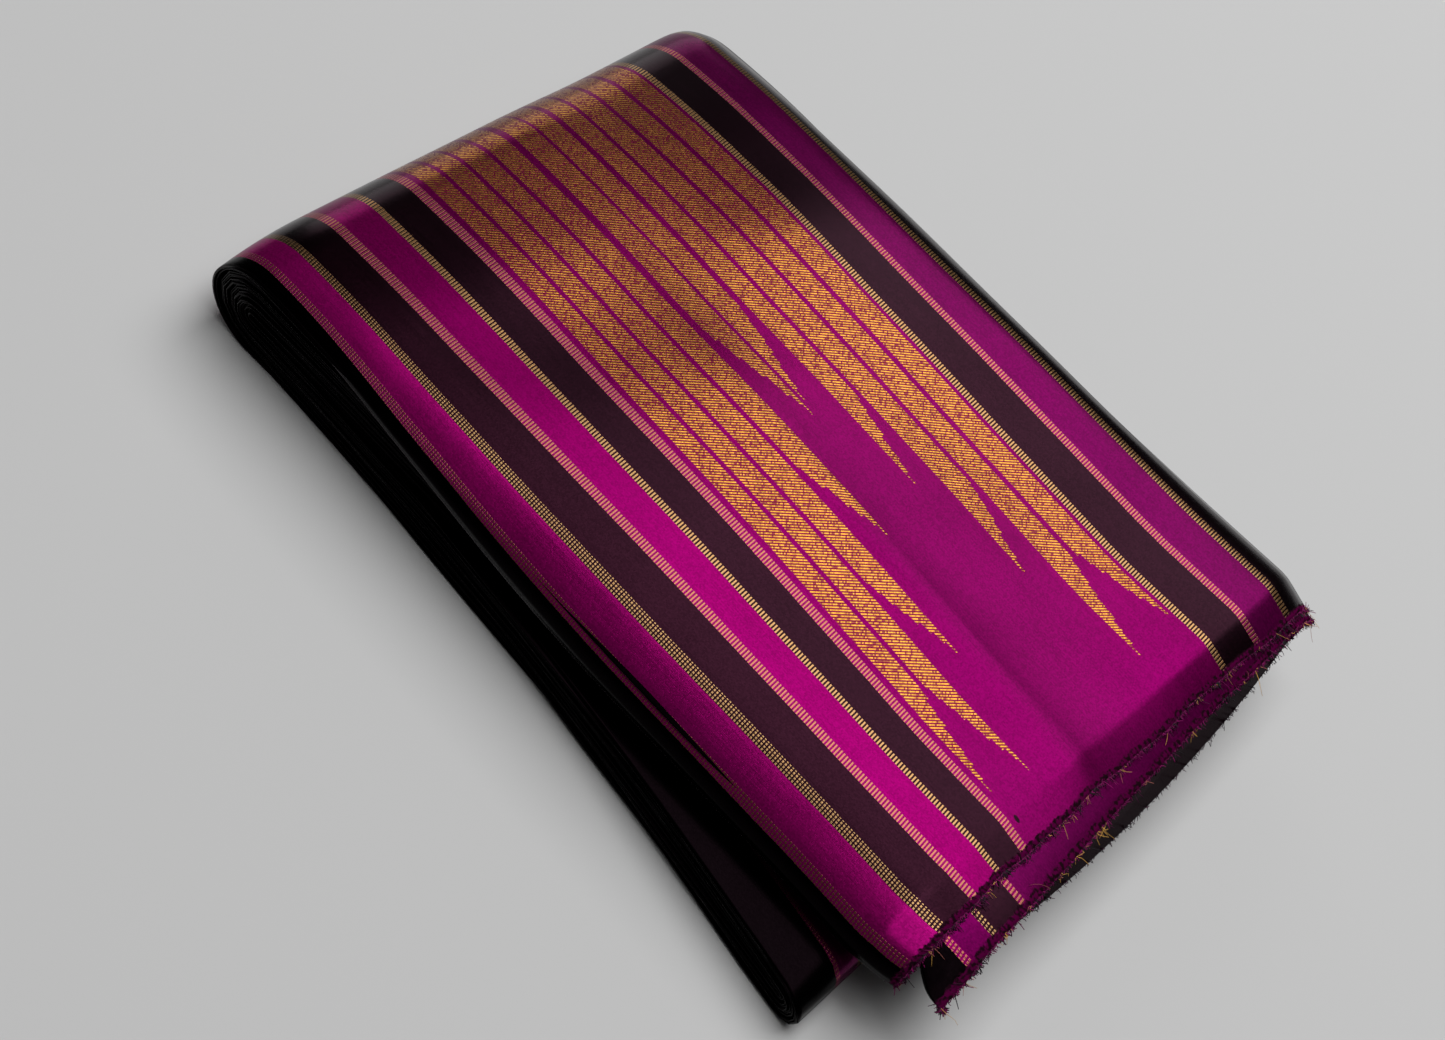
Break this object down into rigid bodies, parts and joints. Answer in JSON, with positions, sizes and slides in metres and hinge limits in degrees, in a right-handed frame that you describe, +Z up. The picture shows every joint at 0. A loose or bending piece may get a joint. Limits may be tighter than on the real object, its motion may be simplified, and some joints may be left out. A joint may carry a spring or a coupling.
{
  "type": "folded silk sari",
  "caption": "Silk sari folded into a flat bundle, its back turned in a broad roll and its cut ends lying loose at the front.",
  "frame": {"origin": "middle of the underside of the bounding box, on the surface that the bundle lies on", "axes": "+Z up, -Y towards the front with the cut ends, +X across the folded strip"},
  "size_m": [0.2686, 0.356, 0.0442],
  "materials": {
    "silk": "fuchsia and black striped silk with gold thread, soft satin sheen"
  },
  "bodies": {
    "root": {"sari_cloth": "silk"}
  },
  "joints": []
}
